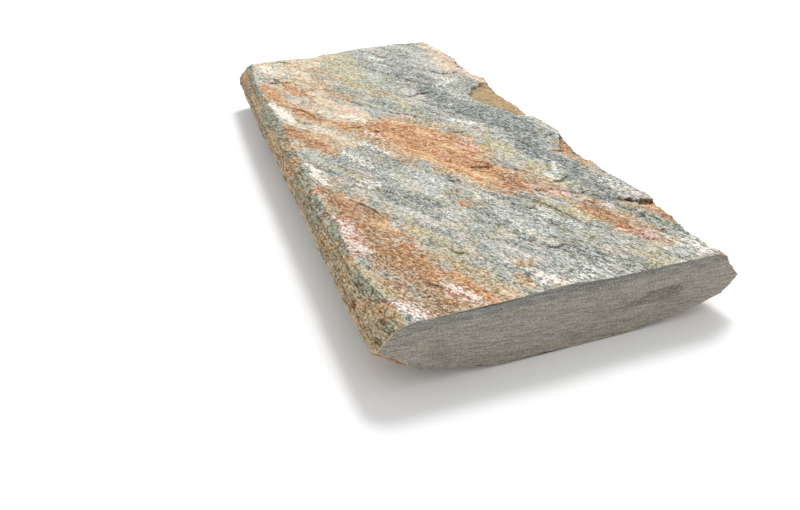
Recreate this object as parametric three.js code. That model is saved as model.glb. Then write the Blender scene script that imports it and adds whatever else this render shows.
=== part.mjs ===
// A split slate slab: one stone with a riven top, a cleaved bed, two broken flanks and two sawn ends.
// Millimetres. X runs across the slab, Y along it and Z up. The origin is the middle of the bed it lies on.
import * as THREE from "three";

const { clamp, degToRad, smoothstep } = THREE.MathUtils;

const slabLength = 460; // between the two sawn ends
const slabThickness = 40; // from the bed to the middle level of the riven top
const frontEnd = -slabLength / 2;

const sectionCount = 66; // cross-sections along the slab
const topColumns = 32; // steps across the riven top
const bedColumns = 14; // steps across the bed
const denseShare = 0.36; // share of the top's columns that crowd into its flaked right margin
const marginShare = 0.2; // that margin's share of the top's width

// Rims of the riven top as [y, x], front to back.
const leftRim = [
  [-230, -89.5], [-212, -90.5], [-199, -92.5], [-180, -96], [-149, -96.2], [-110, -95], [-64, -96.8],
  [-10, -93.4], [17, -93.8], [44, -92.6], [94, -93], [159, -94.5], [200, -92], [230, -88.5],
];
const rightRim = [
  [-230, 92], [-210, 91.6], [-200, 90.6], [-178, 94.6], [-163, 94.4], [-155, 97], [-132, 93.3],
  [-104, 90.8], [-96, 92.8], [-77, 89], [-54, 92], [-38, 96.6], [-20, 95.2], [1, 91.8], [37, 92.8],
  [68, 90.9], [83, 92.7], [96, 96], [112, 91.6], [153, 93.2], [165, 96.1], [199, 92.7], [230, 88],
];

// Each flank is a pile of beds. drops are the bed planes' depths under the top, and a station gives
// how far out the stone reaches at each drop, from the bottom of the top bed down to the bed rim.
// overhang limits that reach past the rim, for each millimetre of depth, so the right flank stays steep.
const leftFlank = {
  side: -1,
  rim: leftRim,
  drops: [0, 3.2, 8, 12.5, 16.5, 20, 25, 29.3],
  stations: [
    [-230, [95.3, 100.6, 104.4, 100.6, 93.4, 89.2, 82]],
    [-225, [96.8, 102.4, 106.2, 106.4, 101, 94.5, 86]],
    [-208, [98.4, 103.8, 106.6, 106.8, 103, 96, 87]],
    [-60, [100.8, 104.2, 105.4, 105.6, 102.4, 95, 86]],
    [100, [98.4, 103.2, 104.8, 105, 102, 96, 88]],
    [230, [93.4, 98.4, 100.6, 101.5, 98.6, 92, 83]],
  ],
  ruggedness: 0.9,
  overhang: 9,
  seed: 11,
};
const rightFlank = {
  side: 1,
  rim: rightRim,
  drops: [0, 4.4, 9, 13.5, 18.5, 23, 28, 33],
  stations: [
    [-230, [96.6, 98.8, 102.4, 106, 102.6, 97, 82]],
    [-150, [98.6, 99.4, 102, 104.6, 105, 99, 87]],
    [-20, [97.4, 100.4, 104.4, 106, 104.4, 97, 85]],
    [110, [96.4, 98.6, 101.6, 104, 101.6, 95, 83]],
    [230, [91.6, 95.4, 99.6, 101.6, 99, 92, 80]],
  ],
  ruggedness: 2.2,
  overhang: 0.47,
  seed: 23,
};
const bedGap = 0.3; // half the height of the sharp step between two beds of a flank
const noseLength = 16; // length behind the front end over which the right flank juts out past its limit
const noseOverhang = 1.2; // by how much that limit is raised at the front end
const trueOutline = 22; // length behind the front end over which the flanks settle into their ruggedness
const broadStray = 30; // over what lengths a bed's broken edge strays
const fineStray = 10;

// The level part of the bed as [y, x], which the slab lies on.
const bedLeftEdge = [[-230, -40], [-160, -52], [-70, -44], [20, -58], [120, -46], [230, -52]];
const bedRightEdge = [[-230, 40], [-150, 50], [-40, 58], [60, 46], [150, 56], [230, 44]];
const bedSteps = 3; // cleavage steps between the level part and a bed rim
const stepShare = 0.55; // share of the rise that is made by those steps, the rest being a slope
const riserBand = [0.25, 0.85]; // where in each step its riser lies

// Streaks and flakes of the riven face run along this line, turned from the slab's length.
const lineationAngle = degToRad(26);
const lineX = Math.sin(lineationAngle);
const lineY = -Math.cos(lineationAngle);

// Relief of the unbroken skin: wavelengths along and across the lineation, and heights.
const swell = { along: 120, across: 50, height: 0.8 };
const ridges = { along: 46, across: 15, height: 0.4 };
const skinSteps = { along: 95, across: 34, height: 0.9, upper: [0.16, 0.2], lower: [-0.3, -0.26] };

// Places where the top skin has flaked off, as [x, y] outlines that may run past the rim.
const scars = [
  {
    name: "long ledge",
    depth: 2.3,
    outline: [
      [110, 84], [86, 83], [76, 77], [67, 64], [68, 48], [74, 32], [79, 16], [84, 3], [90, -4], [110, -6],
    ],
  },
  {
    name: "notch",
    depth: 2.8,
    outline: [[110, -42], [93, -45], [88, -56], [84, -63], [82, -69], [86, -80], [88, -92], [110, -99]],
  },
  {
    name: "under the hanging flake",
    depth: 3.6,
    outline: [[110, -157], [95, -158], [84, -156], [85, -166], [88, -178], [89, -192], [110, -203]],
  },
  {
    name: "back margin",
    depth: 0.7,
    outline: [
      [110, 118], [84, 122], [72, 124], [63, 130], [66, 150], [64, 176], [72, 205], [78, 240], [110, 240],
    ],
  },
  {
    name: "chip",
    depth: 2,
    outline: [[12, -70], [16, -69], [23, -74], [21, -79], [16, -79]],
  },
  {
    name: "front right skin",
    depth: 1.1,
    outline: [
      [28, -118], [36, -128], [41, -150], [47, -176], [59, -190], [64, -204], [80, -200], [78, -168],
      [66, -140], [48, -122],
    ],
  },
  {
    name: "back left flake",
    depth: 1,
    outline: [
      [-110, 184], [-86, 181], [-70, 168], [-60, 150], [-56, 118], [-62, 100], [-76, 108], [-88, 128],
      [-110, 150],
    ],
  },
];
const scarRaggedness = 1.6; // how far a scar's real edge strays from its outline
const raggedLength = 7; // over what length it strays
const scarWall = 0.3; // width of the wall between a scar and the skin
const snapReach = 2.4; // a grid point this near a scar's edge is moved onto it

// One fixed value between -1 and 1 for each corner of a square lattice.
function cornerValue(i, j, seed) {
  const wave = Math.sin(i * 127.1 + j * 311.7 + seed * 74.7) * 43758.5453;
  return 2 * (wave - Math.floor(wave)) - 1;
}

const ease = (t) => t * t * (3 - 2 * t);

// Smooth noise between -1 and 1.
function noise(x, y, seed) {
  const i = Math.floor(x);
  const j = Math.floor(y);
  const u = ease(x - i);
  const v = ease(y - j);
  const near = cornerValue(i, j, seed) * (1 - u) + cornerValue(i + 1, j, seed) * u;
  const far = cornerValue(i, j + 1, seed) * (1 - u) + cornerValue(i + 1, j + 1, seed) * u;
  return near * (1 - v) + far * v;
}

// Value at y along a list of [y, value] points, with no overshoot.
function along(points, y) {
  let k = 0;
  while (k < points.length - 2 && y > points[k + 1][0]) k++;
  const [[y0, a], [y1, b]] = [points[k], points[k + 1]];
  const t = clamp((y - y0) / (y1 - y0), 0, 1);
  return a + (b - a) * t;
}

// Distance from (x, y) to an outline's edge, positive inside it.
function depthInside(outline, x, y) {
  let nearest = Infinity;
  let inside = false;
  for (let k = 0; k < outline.length; k++) {
    const [ax, ay] = outline[k];
    const [bx, by] = outline[(k + 1) % outline.length];
    const dx = bx - ax;
    const dy = by - ay;
    const t = clamp(((x - ax) * dx + (y - ay) * dy) / (dx * dx + dy * dy), 0, 1);
    nearest = Math.min(nearest, Math.hypot(x - ax - t * dx, y - ay - t * dy));
    if (ay > y !== by > y && x < ((bx - ax) * (y - ay)) / (by - ay) + ax) inside = !inside;
  }
  return inside ? nearest : -nearest;
}

// Distance inside a scar's ragged edge.
function scarField(scar, index, x, y) {
  const stray = noise(x / raggedLength, y / raggedLength, 40 + index);
  return depthInside(scar.outline, x, y) + scarRaggedness * stray;
}

function skinRelief(x, y) {
  const lengthways = x * lineX + y * lineY;
  const crossways = -x * lineY + y * lineX;
  const wave = (part, seed) => noise(lengthways / part.along, crossways / part.across, seed);
  const level = wave(skinSteps, 3);
  const risers = smoothstep(level, ...skinSteps.upper) + smoothstep(level, ...skinSteps.lower) - 1;
  return swell.height * wave(swell, 1) + ridges.height * wave(ridges, 2) + skinSteps.height * risers;
}

function topHeight(x, y) {
  let z = slabThickness + skinRelief(x, y);
  scars.forEach((scar, index) => {
    if (scarField(scar, index, x, y) > scarWall) z -= scar.depth;
  });
  return z;
}

// Moves a point of the top onto the nearest scar's edge, so that the edge stays sharp.
function snapToScar(x, y) {
  for (const [index, scar] of scars.entries()) {
    const field = scarField(scar, index, x, y);
    if (Math.abs(field) > snapReach) continue;
    const e = 0.5;
    const gx = (scarField(scar, index, x + e, y) - field) / e;
    const gy = (scarField(scar, index, x, y + e) - field) / e;
    const steepness = Math.max(gx * gx + gy * gy, 0.3);
    return [x - (field * gx) / steepness, y - (field * gy) / steepness];
  }
  return [x, y];
}

// Points down one flank as [x, z], from just under the rim to the bed rim.
function flankPoints(flank, y) {
  const { side, drops, stations, ruggedness, overhang, seed } = flank;
  const reach = drops.slice(1).map((drop, k) => along(stations.map(([at, list]) => [at, list[k]]), y));
  reach.unshift(side * along(flank.rim, y));
  const calm = smoothstep(y, frontEnd, frontEnd + trueOutline);
  const slope = overhang + noseOverhang * (1 - smoothstep(y, frontEnd, frontEnd + noseLength));
  const points = [];
  for (let bed = 0; bed < drops.length - 1; bed++) {
    const broad = noise(y / broadStray, bed * 5.3, seed);
    const fine = noise(y / fineStray, bed * 7.7, seed + 1);
    const stray = ruggedness * calm * (broad + fine / 2);
    const addPoint = (level, gap) => {
      const out = Math.min(reach[level] + stray, reach[0] + slope * drops[level]);
      points.push([side * out, slabThickness - drops[level] + gap]);
    };
    if (bed > 0) addPoint(bed, -bedGap);
    addPoint(bed + 1, bed === drops.length - 2 ? 0 : bedGap);
  }
  return points;
}

// Height of the underside: level where the slab lies, then rising in worn steps to the rim's height.
function bedHeight(x, edge, rimX, rimZ) {
  const share = clamp((x - edge) / (rimX - edge), 0, 1);
  const climb = share * bedSteps;
  const step = Math.floor(Math.min(climb, bedSteps - 0.001));
  const riser = smoothstep(climb - step, ...riserBand);
  return rimZ * ((stepShare * (step + riser)) / bedSteps + (1 - stepShare) * share);
}

// Places of the top's columns from 0 at the left rim to 1 at the right one.
function columnShare(k) {
  const open = Math.round(topColumns * (1 - denseShare));
  if (k <= open) return ((1 - marginShare) * k) / open;
  return 1 - marginShare + (marginShare * (k - open)) / (topColumns - open);
}

// One closed cross-section: over the top, down the right flank, back under the bed, up the left flank.
function sectionAt(j) {
  const y = frontEnd + (slabLength * j) / sectionCount;
  const inner = j > 0 && j < sectionCount;
  const left = along(leftRim, y);
  const right = along(rightRim, y);
  const points = [];
  for (let k = 0; k <= topColumns; k++) {
    const x = left + (right - left) * columnShare(k);
    const free = inner && k > 1 && k < topColumns;
    const [px, py] = free ? snapToScar(x, y) : [x, y];
    points.push(new THREE.Vector3(px, py, topHeight(px, py)));
  }
  const rightSide = flankPoints(rightFlank, y);
  const leftSide = flankPoints(leftFlank, y);
  rightSide.forEach(([x, z]) => points.push(new THREE.Vector3(x, y, z)));
  const [rightBedX] = rightSide.at(-1);
  const [leftBedX] = leftSide.at(-1);
  for (let k = 1; k < bedColumns; k++) {
    const x = rightBedX + ((leftBedX - rightBedX) * k) / bedColumns;
    const underRight = x > 0;
    const edge = along(underRight ? bedRightEdge : bedLeftEdge, y);
    const z = bedHeight(x, edge, ...(underRight ? rightSide.at(-1) : leftSide.at(-1)));
    points.push(new THREE.Vector3(x, y, z));
  }
  leftSide.reverse().forEach(([x, z]) => points.push(new THREE.Vector3(x, y, z)));
  return points;
}

// A sawn end: one flat face inside a section's outline. It faces +Y when facing is 1 and -Y when it is -1.
function sawnEnd(section, firstIndex, facing) {
  const outline = section.map((p) => new THREE.Vector2(p.x, p.z));
  return THREE.ShapeUtils.triangulateShape(outline, []).map(([a, b, c]) => {
    const [p, q, r] = [outline[a], outline[b], outline[c]];
    const turn = (q.x - p.x) * (r.y - p.y) - (q.y - p.y) * (r.x - p.x);
    const corners = turn * facing < 0 ? [a, b, c] : [a, c, b];
    return corners.map((corner) => firstIndex + corner);
  });
}

function slabGeometry() {
  const sections = Array.from({ length: sectionCount + 1 }, (_, j) => sectionAt(j));
  const ring = sections[0].length;
  const triangles = [];
  for (let j = 0; j < sectionCount; j++) {
    for (let i = 0; i < ring; i++) {
      const next = (i + 1) % ring;
      const [a, b] = [j * ring + i, j * ring + next];
      const [d, c] = [a + ring, b + ring];
      triangles.push([a, b, c], [a, c, d]);
    }
  }
  triangles.push(...sawnEnd(sections[0], 0, -1));
  triangles.push(...sawnEnd(sections[sectionCount], sectionCount * ring, 1));
  const geometry = new THREE.BufferGeometry().setFromPoints(sections.flat());
  geometry.setIndex(triangles.flat());
  geometry.computeVertexNormals();
  return geometry;
}

const slate = new THREE.MeshStandardMaterial({ color: 0xa3a093, roughness: 0.85, flatShading: true });
const slab = new THREE.Mesh(slabGeometry(), slate);
slab.name = "slate_slab";

const stone = new THREE.Group();
stone.add(slab);
export default stone;
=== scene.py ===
import math

import bmesh
import bpy
import numpy as np
from mathutils import Matrix, Vector


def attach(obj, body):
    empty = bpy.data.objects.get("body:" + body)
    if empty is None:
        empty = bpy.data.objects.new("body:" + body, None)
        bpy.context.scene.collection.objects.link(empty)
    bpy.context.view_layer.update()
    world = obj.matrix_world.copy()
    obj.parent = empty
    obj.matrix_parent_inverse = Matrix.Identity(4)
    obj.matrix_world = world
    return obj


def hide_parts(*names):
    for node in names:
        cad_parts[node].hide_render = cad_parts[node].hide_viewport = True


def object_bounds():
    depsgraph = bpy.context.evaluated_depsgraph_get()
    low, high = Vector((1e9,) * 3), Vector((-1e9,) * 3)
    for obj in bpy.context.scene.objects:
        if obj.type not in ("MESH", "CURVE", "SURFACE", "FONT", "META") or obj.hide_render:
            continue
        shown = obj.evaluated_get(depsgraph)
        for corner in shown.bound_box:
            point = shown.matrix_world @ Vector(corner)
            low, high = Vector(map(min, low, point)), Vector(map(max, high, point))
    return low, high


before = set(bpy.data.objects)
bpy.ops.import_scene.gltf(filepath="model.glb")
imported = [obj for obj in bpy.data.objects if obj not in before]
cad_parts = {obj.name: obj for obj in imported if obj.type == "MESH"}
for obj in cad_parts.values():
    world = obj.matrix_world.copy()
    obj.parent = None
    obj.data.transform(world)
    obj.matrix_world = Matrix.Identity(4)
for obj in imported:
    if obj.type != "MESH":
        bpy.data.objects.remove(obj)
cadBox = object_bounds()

# A split slate slab. Shapes are worked out in millimetres and written to the mesh in metres.
# X runs across the slab, Y along it, Z up, and the bed lies on the floor at zero.
metre = 0.001

# The camera stands to the left of the near end and looks down along the slab.
photoCamera = {
    "place": (-0.1828, -0.5321, 0.2662),
    "turnedRight": 17.04,  # degrees from +Y towards +X
    "pitchedDown": 30.56,
    "roll": -3.0,
    "lens": 36.0,
    "sensor": 36.0,
}

slab = {
    "length": 460.0,
    "thickness": 40.0,
    "rowStep": 0.78,  # spacing of the cross-sections
    "topStep": 0.78,  # spacing of points across the riven top
    "bedColumns": 76,
    "stepsPerBed": 5,  # points down each bed of a flank
    "faces": 192000,  # triangles left when the mesh is thinned
    "sharpAngle": 38.0,
}
frontEnd = -slab["length"] / 2
backEnd = slab["length"] / 2

# rims of the riven top as (y, x), front to back
leftRim = [
    (-230, -89.5), (-212, -90.5), (-199, -92.5), (-180, -96), (-149, -96.2), (-110, -95), (-64, -96.8),
    (-10, -93.4), (17, -93.8), (44, -92.6), (94, -93), (159, -94.5), (200, -92), (230, -88.5),
]
rightRim = [
    (-230, 92), (-210, 91.6), (-200, 90.6), (-178, 94.6), (-163, 94.4), (-155, 97), (-132, 93.3),
    (-104, 90.8), (-96, 92.8), (-77, 89), (-54, 92), (-38, 96.6), (-20, 95.2), (1, 91.8), (37, 92.8),
    (68, 90.9), (83, 92.7), (96, 96), (112, 91.6), (153, 93.2), (165, 96.1), (199, 92.7), (230, 88),
]

# Each flank is a pile of beds: drops are their depths, a station says how far out each one reaches.
leftFlank = {
    "side": -1,
    "rim": leftRim,
    "drops": [0, 3.2, 8, 12.5, 16.5, 20, 25, 29.3],
    "stations": [
        (-230, [95.3, 100.6, 104.4, 100.6, 93.4, 89.2, 82]),
        (-225, [96.8, 102.4, 106.2, 106.4, 101, 94.5, 86]),
        (-208, [98.4, 103.8, 106.6, 106.8, 103, 96, 87]),
        (-60, [100.8, 104.2, 105.4, 105.6, 102.4, 95, 86]),
        (100, [98.4, 103.2, 104.8, 105, 102, 96, 88]),
        (230, [93.4, 98.4, 100.6, 101.5, 98.6, 92, 83]),
    ],
    "ruggedness": 0.6,  # how far the broken edge of a bed strays
    "overhang": 9,
    "seed": 11,
    "smoothBand": 7.0,  # height of the smooth bevel under the rim
}
rightFlank = {
    "side": 1,
    "rim": rightRim,
    "drops": [0, 4.4, 9, 13.5, 18.5, 23, 28, 33],
    "stations": [
        (-230, [96.6, 98.8, 102.4, 106, 102.6, 97, 82]),
        (-150, [98.6, 99.4, 102, 104.6, 105, 99, 87]),
        (-20, [97.4, 100.4, 104.4, 106, 104.4, 97, 85]),
        (110, [96.4, 98.6, 101.6, 104, 101.6, 95, 83]),
        (230, [91.6, 95.4, 99.6, 101.6, 99, 92, 80]),
    ],
    "ruggedness": 2.2,
    "overhang": 0.47,  # how far a millimetre of depth may carry the stone out past the rim
    "seed": 23,
    "smoothBand": 1.5,
}
bedGap = 0.3  # half the height of the sharp step between two beds of a flank
boxMargin = np.array((0.06, 0.02, 0.02))  # how far the fine mesh keeps inside the overall box
noseLength = 16.0  # length behind the front end over which the right flank juts out past that limit
noseOverhang = 1.2
trueOutline = 22.0  # length behind the front end over which the flanks keep their stated outline
# edges of the level part of the bed as (y, x)
bedLeftEdge = [(-230, -40), (-160, -52), (-70, -44), (20, -58), (120, -46), (230, -52)]
bedRightEdge = [(-230, 40), (-150, 50), (-40, 58), (60, 46), (150, 56), (230, 44)]
bedFlakes = {"long": 40, "wide": 12, "height": 0.35, "furrowLong": 12, "furrowWide": 3.4, "furrow": 0.3}
bedSteps = 3  # cleavage steps between the level part of the bed and a bed rim
stepShare = 0.55  # share of the rise that is made by those steps, the rest being a slope
riserBand = (0.25, 0.85)  # where in each step its riser lies

# streaks and flakes of the riven face run along this line, turned from the slab's length
lineationAngle = math.radians(26)
lineX, lineY = math.sin(lineationAngle), -math.cos(lineationAngle)

# broad relief of the riven face: heights, and lengths along and across the lineation
swell = {"along": 120, "across": 50, "height": 0.8}
ridges = {"along": 46, "across": 15, "height": 0.4}
skinSteps = {"along": 95, "across": 34, "height": 0.9, "upper": (0.16, 0.2), "lower": (-0.3, -0.26)}

# Where the top skin has flaked off, as (x, y) outlines that may run past the rim. An undercut scar's wall
# leans out over its foot.
scars = {
    "longLedge": {"depth": 2.3, "undercut": 0.5, "outline": [
        (110, 84), (86, 83), (76, 77), (67, 64), (68, 48), (74, 32), (79, 16), (84, 3), (90, -4), (110, -6)]},
    "notch": {"depth": 2.8, "undercut": 1.6, "outline": [
        (110, -42), (93, -45), (88, -56), (84, -63), (82, -69), (86, -80), (88, -92), (110, -99)]},
    "hangingFlake": {"depth": 2.8, "undercut": 3.0, "outline": [
        (110, -160), (96, -161), (86, -157), (80, -153), (83, -164), (88, -178), (89, -192), (110, -203)]},
    "backMargin": {"depth": 0.7, "undercut": 0, "outline": [
        (110, 118), (84, 122), (72, 124), (63, 130), (66, 150), (64, 176), (72, 205), (78, 240), (110, 240)]},
    "chip": {"depth": 1.2, "undercut": 0.9, "outline": [
        (12, -70), (16, -69), (23, -74), (21, -79), (16, -79)]},
    "frontRightSkin": {"depth": 1.1, "undercut": 0, "outline": [
        (28, -118), (36, -128), (41, -150), (47, -176), (59, -190), (64, -204), (80, -200), (78, -168),
        (66, -140), (48, -122)]},
    "backLeftFlake": {"depth": 1, "undercut": 0, "outline": [
        (-110, 184), (-86, 181), (-70, 168), (-60, 150), (-56, 118), (-62, 100), (-76, 108), (-88, 128),
        (-110, 150)]},
}
scarRaggedness = 1.6  # how far a scar's edge strays from its outline, and over what length
raggedLength = 7.0
scarWall = (-0.1, 0.6)  # the wall between the skin and a scar, as distances inside its edge

# Lips of lifted flakes, each a line of (x, y), its drop and its fade. The stone drops on the line's
# right-hand side and comes back over the fade.
lips = [
    ([(-71, 222), (-59, 224), (-50, 219)], 0.8, 8),
    ([(-88, 178), (-80, 170), (-70, 165), (-60, 160)], 0.9, 9),
    ([(20, 84), (31, 87), (40, 84)], 1.3, 9),
    ([(58, 133), (69, 125), (82, 128)], 1.5, 8),
    ([(-46, 36), (-39, 32), (-32, 33)], 1.0, 7),
    ([(-31, 22), (-26, 18), (-18, 23)], 1.0, 7),
    ([(-6, 111), (4, 104), (11, 78)], 0.6, 8),
    ([(-95, 59), (-86, 50), (-77, 38)], 0.7, 7),
    ([(-85, 110), (-68, 88), (-56, 52)], 0.7, 8),
    ([(18, -3), (27, -6), (36, -11)], 1.0, 8),
    ([(52, -111), (58, -113), (66, -108)], 1.1, 7),
    ([(74, -65), (81, -69), (90, -70)], 1.0, 7),
    ([(82, -39), (86, -43), (91, -43)], 0.8, 6),
    ([(-10, -81), (-6, -85), (0, -86)], 0.8, 6),
    ([(20, -139), (23, -142), (27, -138)], 0.8, 6),
    ([(32, -76), (39, -86), (46, -96)], 0.6, 8),
    ([(-78, -84), (-69, -100), (-62, -125)], 0.8, 8),
    ([(-68, -195), (-62, -199), (-58, -207)], 0.9, 6),
    ([(-43, -169), (-39, -175), (-36, -177)], 0.9, 6),
    ([(-17, -141), (-13, -145), (-9, -144)], 0.7, 5),
    ([(8, -186), (15, -189), (20, -187)], 0.9, 7),
    ([(24, -122), (36, -150), (44, -178)], 0.8, 12),
    ([(72, -148), (80, -154), (88, -161)], 1.0, 8),
    ([(-62, -40), (-52, -54), (-46, -70)], 0.5, 8),
    ([(38, 40), (48, 26), (54, 12)], 0.6, 8),
    ([(-34, -150), (-26, -168), (-20, -186)], 0.5, 8),
    ([(56, -30), (64, -48), (70, -62)], 0.7, 9),
]


def cornerValue(i, j, seed):
    wave = np.sin(i * 127.1 + j * 311.7 + seed * 74.7) * 43758.5453
    return 2 * (wave - np.floor(wave)) - 1


def ease(t):
    return t * t * (3 - 2 * t)


def smoothstep(value, low, high):
    return ease(np.clip((value - low) / (high - low), 0, 1))


def noise(x, y, seed):  # smooth, between -1 and 1, and another pattern for each seed
    i, j = np.floor(x), np.floor(y)
    u, v = ease(x - i), ease(y - j)
    near = cornerValue(i, j, seed) * (1 - u) + cornerValue(i + 1, j, seed) * u
    far = cornerValue(i, j + 1, seed) * (1 - u) + cornerValue(i + 1, j + 1, seed) * u
    return near * (1 - v) + far * v


def along(points, y):
    return np.interp(y, [p[0] for p in points], [p[1] for p in points])


def pastFront(y, length):  # 0 at the front end, 1 from this length behind it
    return smoothstep(y, frontEnd, frontEnd + length)


def lineation(x, y):
    return x * lineX + y * lineY, -x * lineY + y * lineX


def streaks(x, y, length, width, seed):  # noise drawn out along the lineation
    lengthways, crossways = lineation(x, y)
    return noise(lengthways / length, crossways / width, seed)


def segmentDistance(x, y, a, b):
    dx, dy = b[0] - a[0], b[1] - a[1]
    t = np.clip(((x - a[0]) * dx + (y - a[1]) * dy) / (dx * dx + dy * dy), 0, 1)
    return np.hypot(x - a[0] - t * dx, y - a[1] - t * dy), t


def depthInside(outline, x, y):  # distance to the outline, positive inside it
    nearest = np.full(x.shape, np.inf)
    inside = np.zeros(x.shape, bool)
    for a, b in zip(outline, outline[1:] + outline[:1]):
        nearest = np.minimum(nearest, segmentDistance(x, y, a, b)[0])
        if a[1] != b[1]:
            crosses = ((a[1] > y) != (b[1] > y)) & (x < (b[0] - a[0]) * (y - a[1]) / (b[1] - a[1]) + a[0])
            inside ^= crosses
    return np.where(inside, nearest, -nearest)


def scarField(name, x, y):
    number = list(scars).index(name)
    stray = noise(x / raggedLength, y / raggedLength, 40 + number)
    fine = 0.5 * noise(x / 2.6, y / 2.6, 90 + number)
    return depthInside(scars[name]["outline"], x, y) + scarRaggedness * stray + fine


def skinRelief(x, y):
    level = streaks(x, y, skinSteps["along"], skinSteps["across"], 3) + 0.03 * streaks(x, y, 9, 4, 5)
    risers = smoothstep(level, *skinSteps["upper"]) + smoothstep(level, *skinSteps["lower"]) - 1
    return (
        swell["height"] * streaks(x, y, swell["along"], swell["across"], 1)
        + ridges["height"] * streaks(x, y, ridges["along"], ridges["across"], 2)
        + skinSteps["height"] * risers
    )


# Thin flakes left by the split, long along the lineation. Shingles and terraces also say how many steps
# there are between a pattern's middle and its top.
flakes = {
    "shingleLength": 26, "shingleWidth": 7.5, "shingleDepth": 0.5, "shingles": 2.2,
    "terraceLength": 14, "terraceWidth": 4.2, "terraceDepth": 0.34, "terraces": 1.8,
    "furrowLength": 12, "furrowWidth": 2.5, "furrowDepth": 0.22,
}


def flakeRelief(x, y):  # only takes stone away
    lengthways, crossways = lineation(x, y)
    bend = streaks(x, y, 12, 5, 61)
    shingle = noise(lengthways / flakes["shingleLength"] + 0.3 * bend, crossways / flakes["shingleWidth"], 63)
    shingle = flakes["shingles"] * (shingle + 1)
    terrace = noise(lengthways / flakes["terraceLength"], crossways / flakes["terraceWidth"] + 0.4 * bend, 64)
    terrace = flakes["terraces"] * (terrace + 1)
    furrow = streaks(x, y, flakes["furrowLength"], flakes["furrowWidth"], 65)
    patchy = 0.45 + 0.55 * smoothstep(streaks(x, y, 60, 25, 66), -0.5, 0.4)
    saw = shingle - np.floor(shingle)
    riser = np.floor(terrace) + smoothstep(terrace - np.floor(terrace), 0.0, 0.16)
    shingles = flakes["shingleDepth"] * saw
    terraces = flakes["terraceDepth"] * (2 * flakes["terraces"] - riser) / flakes["terraces"]
    return -patchy * (shingles + terraces + flakes["furrowDepth"] * (0.5 + 0.5 * furrow))


paintedShadowWidth = 1.2  # width of the painted shadow line under a lip


def lipRelief(x, y):  # height change and a mask of the painted shadow line under each lip
    height, dark = np.zeros(x.shape), np.zeros(x.shape)
    wobbleX = 0.9 * noise(x / 4, y / 4, 71)
    wobbleY = 0.9 * noise(x / 4, y / 4, 72)
    px, py = x + wobbleX, y + wobbleY
    for path, drop, fade in lips:
        count = len(path) - 1
        nearest, side, share = np.full(x.shape, np.inf), np.zeros(x.shape), np.zeros(x.shape)
        for k, (a, b) in enumerate(zip(path, path[1:])):
            distance, t = segmentDistance(px, py, a, b)
            closer = distance < nearest
            turn = (b[0] - a[0]) * (py - a[1]) - (b[1] - a[1]) * (px - a[0])
            nearest = np.where(closer, distance, nearest)
            side = np.where(closer, -turn, side)
            share = np.where(closer, (k + t) / count, share)
        taper = np.sqrt(np.clip(4 * share * (1 - share), 0, 1))
        low = side > 0
        height -= np.where(low, drop * taper * np.exp(-nearest / fade), 0)
        line = taper * np.exp(-((nearest / paintedShadowWidth) ** 2)) * min(1, 1.2 * drop)
        dark = np.maximum(dark, np.where(low, line, 0))
    return height, dark


def topHeight(x, y):
    z = slab["thickness"] + skinRelief(x, y) + flakeRelief(x, y) + lipRelief(x, y)[0]
    for name, scar in scars.items():
        z = z - scar["depth"] * smoothstep(scarField(name, x, y), *scarWall)
    return z


# small chips along the rims: how deep and how long the larger and the smaller ones are
rimChips = {"deep": 0.9, "long": 5, "smallDeep": 0.5, "smallLong": 1.9}


def rimLine(flank, y):  # the rim with its small chips, which only take stone away
    seed = flank["seed"] + 5
    chips = rimChips["deep"] * np.abs(noise(y / rimChips["long"], 0 * y, seed))
    chips = chips + rimChips["smallDeep"] * np.abs(noise(y / rimChips["smallLong"], 0 * y, seed + 1))
    return along(flank["rim"], y) - flank["side"] * pastFront(y, 8) * chips


def pullUnderSkin(x, y):  # slides the foot of a scar's wall in under the skin beside it
    probe = 0.4  # how far off the way out of the scar is felt for
    for name, scar in scars.items():
        if not scar["undercut"]:
            continue
        field = scarField(name, x, y)
        plain = depthInside(scar["outline"], x, y)
        slopeX = (depthInside(scar["outline"], x + probe, y) - plain) / probe
        slopeY = (depthInside(scar["outline"], x, y + probe) - plain) / probe
        foot = smoothstep(field, 0.3, 0.7) * (1 - smoothstep(field, 1.4, 3.4))
        x = x - scar["undercut"] * foot * slopeX
        y = y - scar["undercut"] * foot * slopeY
    return x, y


def flankLine(flank, y):  # the corners of the beds down a flank at each y, below its rim
    side, drops = flank["side"], flank["drops"]
    reach = [side * rimLine(flank, y)]
    for k in range(len(drops) - 1):
        reach.append(along([(at, row[k]) for at, row in flank["stations"]], y))
    calm = pastFront(y, trueOutline)
    slope = flank["overhang"] + noseOverhang * (1 - pastFront(y, noseLength))
    points = []

    def addPoint(level, stray, gap):
        out = np.minimum(reach[level] + stray, reach[0] + slope * drops[level])
        points.append((out, 0 * y + slab["thickness"] - drops[level] + gap))

    for bed in range(len(drops) - 1):
        stray = noise(y / 30, bed * 5.3 + 0 * y, flank["seed"])
        stray = stray + 0.5 * noise(y / 10, bed * 7.7 + 0 * y, flank["seed"] + 1)
        stray = flank["ruggedness"] * calm * stray
        if bed > 0:
            addPoint(bed, stray, -bedGap)
        addPoint(bed + 1, stray, 0 if bed == len(drops) - 2 else bedGap)
    return points


# laminae, chips and grain of the broken flanks: length, height, depth and how much they bend
fracture = [(17, 1.7, 0.9, 0.8), (6.5, 3.1, 1.0, 0), (2.6, 1.5, 0.75, 0)]
fractureLift = 0.75  # how far out their surface starts
bevelRoughness = 0.25  # share of them left on the smooth bevel


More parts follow.
